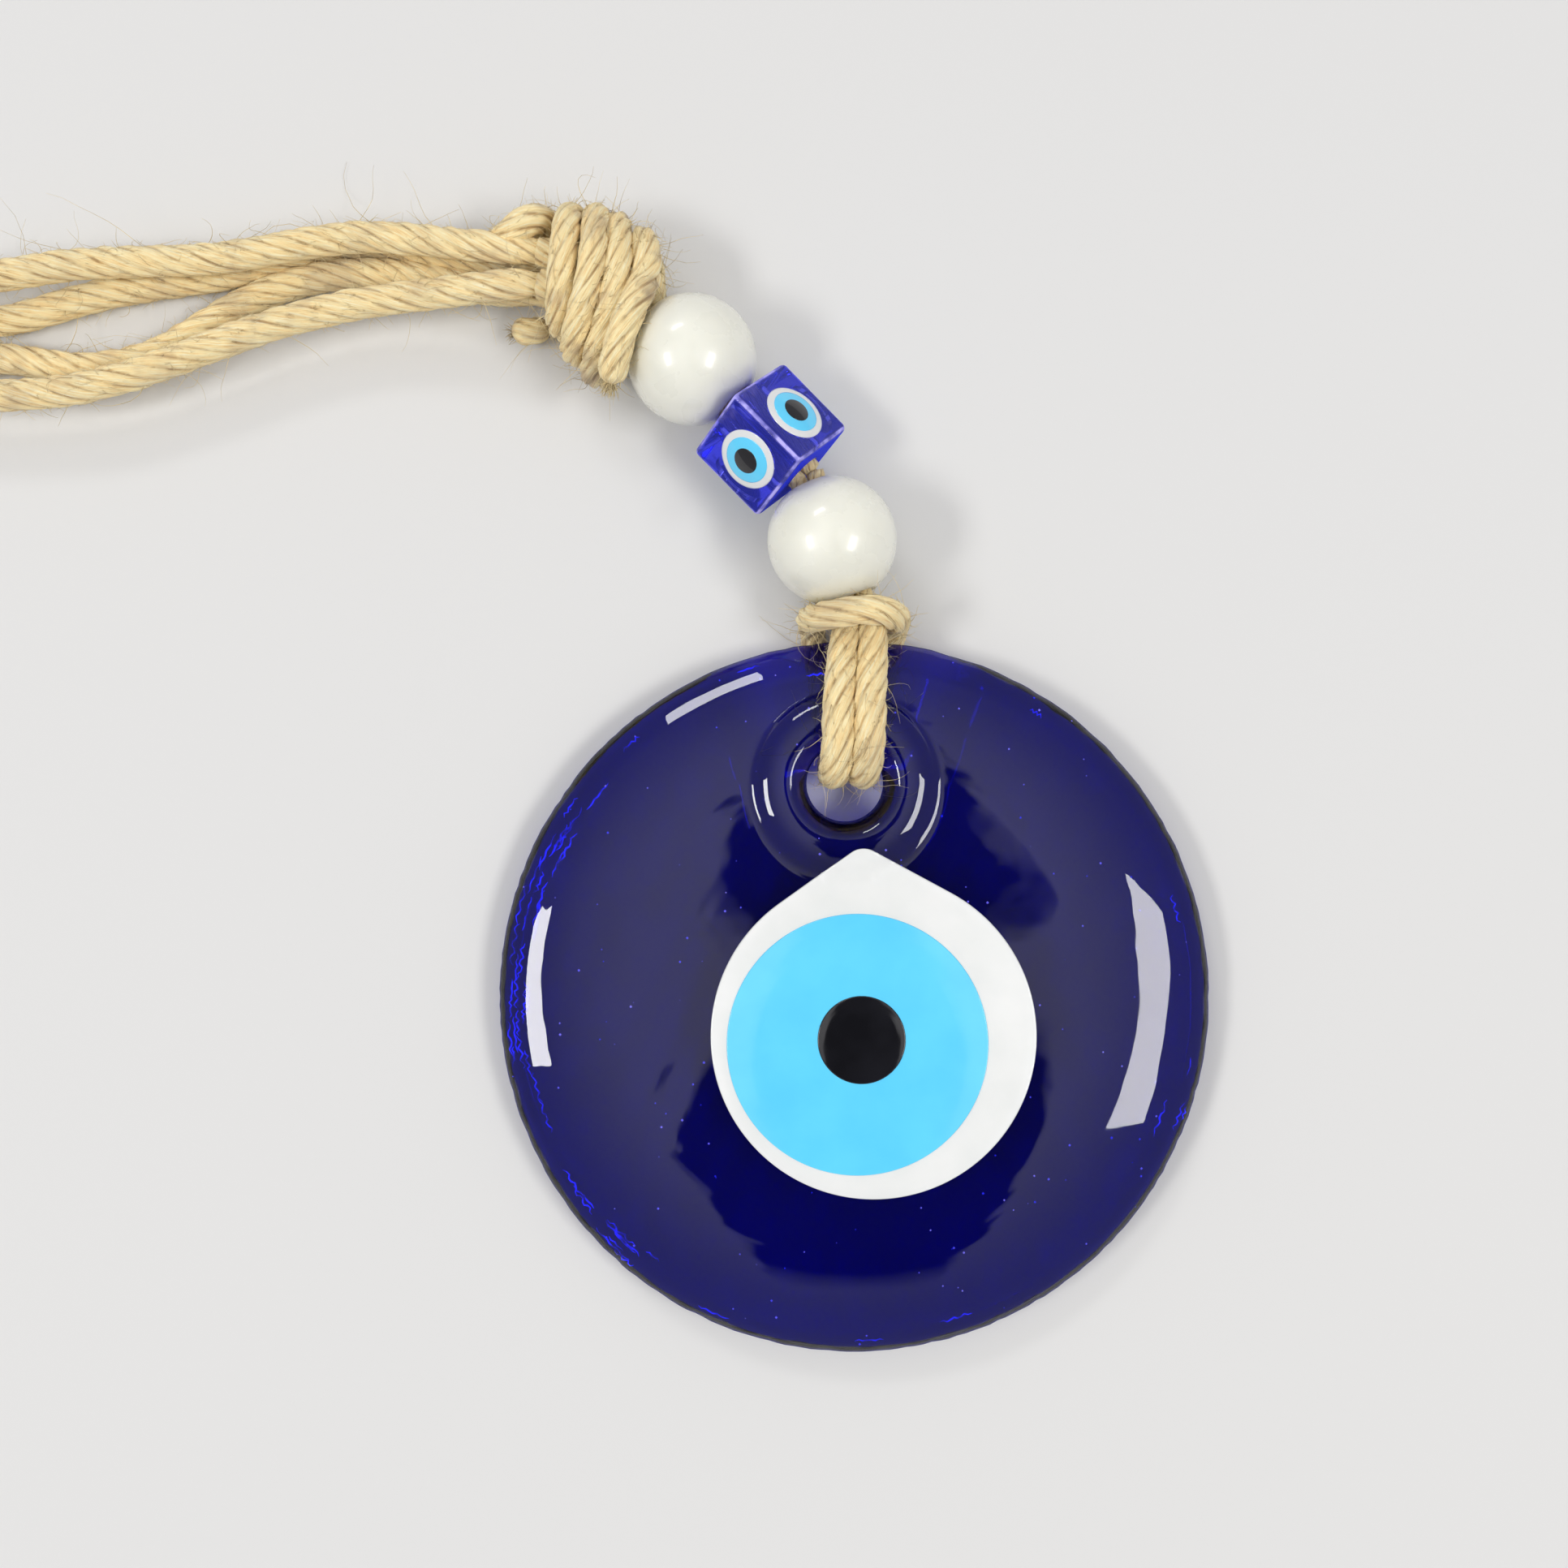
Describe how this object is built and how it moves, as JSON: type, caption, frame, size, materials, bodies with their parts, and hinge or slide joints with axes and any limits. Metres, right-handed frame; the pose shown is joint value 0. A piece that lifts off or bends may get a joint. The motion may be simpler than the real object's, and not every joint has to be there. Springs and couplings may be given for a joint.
{
  "type": "evil eye ornament",
  "caption": "Round pierced glass disc with a fused eye, hung on a folded cord with round and cube beads, a big knot and hanging loops.",
  "frame": {"origin": "centre of the disc's flat back face", "axes": "+Z out of the disc's front, +Y from the disc's centre towards its hole, +X to the right seen from the front"},
  "size_m": [0.1764, 0.1438, 0.016],
  "materials": {
    "blue_glass": "polished deep cobalt glass, clear with fine bubbles",
    "cube_glass": "fire polished bright cobalt glass",
    "white_glass": "opaque glossy white glass",
    "light_blue_glass": "opaque glossy light blue glass",
    "black_glass": "opaque glossy black glass",
    "milk_glass": "polished milk white glass, slightly translucent",
    "jute": "natural twisted jute with loose fibres"
  },
  "bodies": {
    "disc": {"glass_disc": "blue_glass", "eye_white": "white_glass", "eye_iris": "light_blue_glass", "eye_pupil": "black_glass"},
    "hitch": {"hitch_cord": "jute"},
    "lower_string": {"cord_in_lower_bead": "jute"},
    "lower_bead": {"white_bead_lower": "milk_glass"},
    "bend": {"cord_bend": "jute"},
    "upper_string": {"cord_in_cube": "jute"},
    "cube": {"cube_bead": "cube_glass", "cube_eye_a_white": "white_glass", "cube_eye_a_iris": "light_blue_glass", "cube_eye_a_pupil": "black_glass", "cube_eye_b_white": "white_glass", "cube_eye_b_iris": "light_blue_glass", "cube_eye_b_pupil": "black_glass", "cube_eye_c_white": "white_glass", "cube_eye_c_iris": "light_blue_glass", "cube_eye_c_pupil": "black_glass", "cube_eye_d_white": "white_glass", "cube_eye_d_iris": "light_blue_glass", "cube_eye_d_pupil": "black_glass"},
    "top_string": {"cord_in_upper_bead": "jute"},
    "upper_bead": {"white_bead_upper": "milk_glass"},
    "knot": {"knot_wraps": "jute", "knot_core": "jute", "knot_tail": "jute"},
    "loops": {"loop_outer": "jute"},
    "inner_loop": {"loop_inner": "jute"}
  },
  "joints": [
    {"name": "hitch_swing", "type": "hinge", "parent": "disc", "child": "hitch", "pos_m": [-0.0013, 0.0271, 0.0056], "axis": [0, 0, 1], "range_deg": [-10, 10]},
    {"name": "neck_fold", "type": "hinge", "parent": "hitch", "child": "lower_string", "pos_m": [-0.00295, 0.0571, 0.008], "axis": [0.9272, 0.3746, 0], "range_deg": [-20, 20]},
    {"name": "lower_bead_spin", "type": "hinge", "parent": "lower_string", "child": "lower_bead", "pos_m": [-0.00295, 0.0571, 0.008], "axis": [-0.3746, 0.9272, 0], "continuous": true},
    {"name": "side_bend", "type": "hinge", "parent": "lower_string", "child": "bend", "pos_m": [-0.00618, 0.0651, 0.008], "axis": [0, 0, 1], "range_deg": [-49, 5]},
    {"name": "front_bend", "type": "hinge", "parent": "bend", "child": "upper_string", "pos_m": [-0.00618, 0.0651, 0.008], "axis": [0.7145, 0.6997, 0], "range_deg": [-15, 15]},
    {"name": "cube_spin", "type": "hinge", "parent": "upper_string", "child": "cube", "pos_m": [-0.01059, 0.0696, 0.008], "axis": [-0.6997, 0.7145, 0], "continuous": true},
    {"name": "knot_swing", "type": "hinge", "parent": "upper_string", "child": "knot", "pos_m": [-0.02028, 0.0795, 0.008], "axis": [0, 0, 1], "range_deg": [-42, 20]},
    {"name": "top_string_turn", "type": "hinge", "parent": "upper_string", "child": "top_string", "pos_m": [-0.02028, 0.0795, 0.008], "axis": [0, 0, 1], "range_deg": [-21, 10]},
    {"name": "upper_bead_spin", "type": "hinge", "parent": "top_string", "child": "upper_bead", "pos_m": [-0.02028, 0.0795, 0.008], "axis": [-0.6997, 0.7145, 0], "continuous": true},
    {"name": "loops_fold", "type": "hinge", "parent": "knot", "child": "loops", "pos_m": [-0.0424, 0.0905, 0.00735], "axis": [0, 1, 0], "range_deg": [-30, 90]},
    {"name": "inner_loop_swing", "type": "hinge", "parent": "loops", "child": "inner_loop", "pos_m": [-0.0424, 0.0905, 0.00735], "axis": [0, 0, 1], "range_deg": [-8, 8]}
  ],
  "couplings": [
    {"joint": "top_string_turn", "follows": "knot_swing", "ratio": 0.5}
  ]
}
